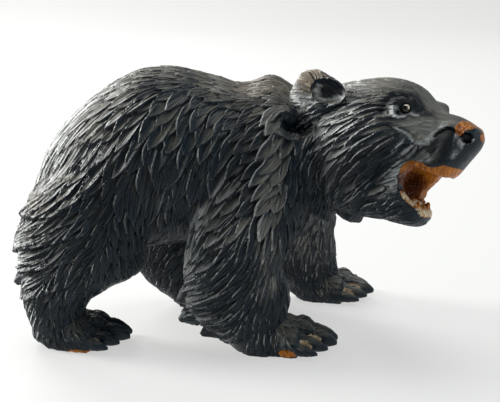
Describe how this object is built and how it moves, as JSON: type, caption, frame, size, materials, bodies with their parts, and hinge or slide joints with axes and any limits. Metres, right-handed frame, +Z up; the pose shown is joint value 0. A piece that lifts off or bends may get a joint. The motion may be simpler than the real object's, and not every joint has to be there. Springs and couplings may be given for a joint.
{
  "type": "carved wooden bear",
  "caption": "Walking bear carved from one block of dark stained wood, its head turned to its right and its mouth open, with glass bead eyes.",
  "frame": {"origin": "middle of the bounding box's footprint, on the ground under the feet", "axes": "+X the way the bear walks, +Y its left side, +Z up"},
  "size_m": [0.388, 0.199, 0.2345],
  "materials": {
    "wood": "gouge-cut wood stained black, with paler worn edges",
    "eye_glass": "polished dark glass bead"
  },
  "bodies": {
    "root": {"bear": "wood", "eye_left": "eye_glass", "eye_right": "eye_glass"}
  },
  "joints": []
}
